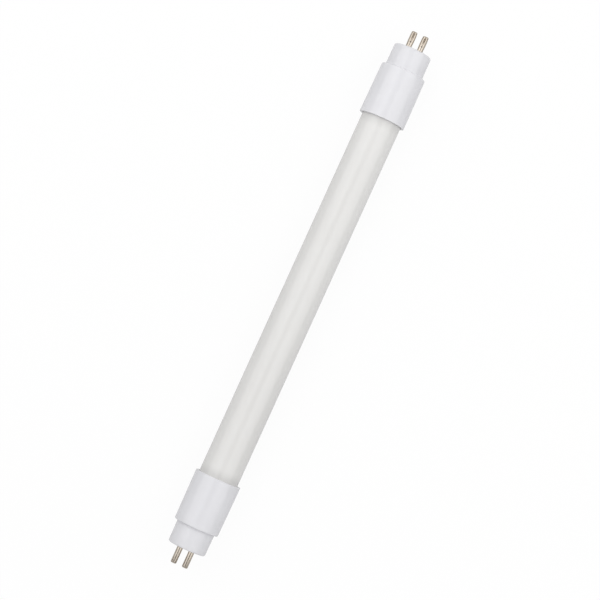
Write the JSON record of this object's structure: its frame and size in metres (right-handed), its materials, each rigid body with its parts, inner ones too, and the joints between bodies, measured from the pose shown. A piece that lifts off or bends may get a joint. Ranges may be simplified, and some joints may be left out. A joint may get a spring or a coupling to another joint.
{
  "type": "led tube",
  "caption": "Slim opal glass LED tube with a stepped white cap and a pair of hollow contact pins at each end, for two-pin lampholders.",
  "frame": {"origin": "on the tube axis, midway between the pin tips of the two ends", "axes": "+X along the tube towards the fed end, +Y across the two pins of an end, +Z the way the LEDs shine"},
  "size_m": [0.2262, 0.0186, 0.0186],
  "materials": {
    "opal_glass": "satin",
    "cap_plastic": "satin",
    "pin_metal": "polished nickel plating",
    "board_metal": "white lacquer",
    "silicone": "matte",
    "led_plastic": "matte",
    "phosphor": "satin",
    "glass_fibre": "satin",
    "solder": "satin",
    "brown_cover": "satin",
    "blue_cover": "satin",
    "red_cover": "satin",
    "black_cover": "satin",
    "fuse_coating": "satin",
    "ferrite": "matte",
    "copper": "enamelled",
    "capacitor_cover": "gloss",
    "chip_plastic": "matte",
    "resistor_body": "satin"
  },
  "bodies": {
    "root": {"diffuser_tube": "opal_glass", "fed_end_cap": "cap_plastic", "far_end_cap": "cap_plastic", "fed_pin_left": "pin_metal", "fed_pin_right": "pin_metal", "far_pin_left": "pin_metal", "far_pin_right": "pin_metal", "led_board": "board_metal", "board_glue": "silicone", "led_housings": "led_plastic", "led_phosphor": "phosphor", "driver_board": "glass_fibre", "solder_joints": "solder", "live_lead": "brown_cover", "neutral_lead": "blue_cover", "positive_link": "red_cover", "negative_link": "black_cover", "fuse_resistor": "fuse_coating", "choke_core": "ferrite", "choke_coil": "copper", "bulk_capacitor": "capacitor_cover", "bridge_rectifier": "chip_plastic", "driver_chip": "chip_plastic", "chip_resistors": "resistor_body"}
  },
  "joints": []
}
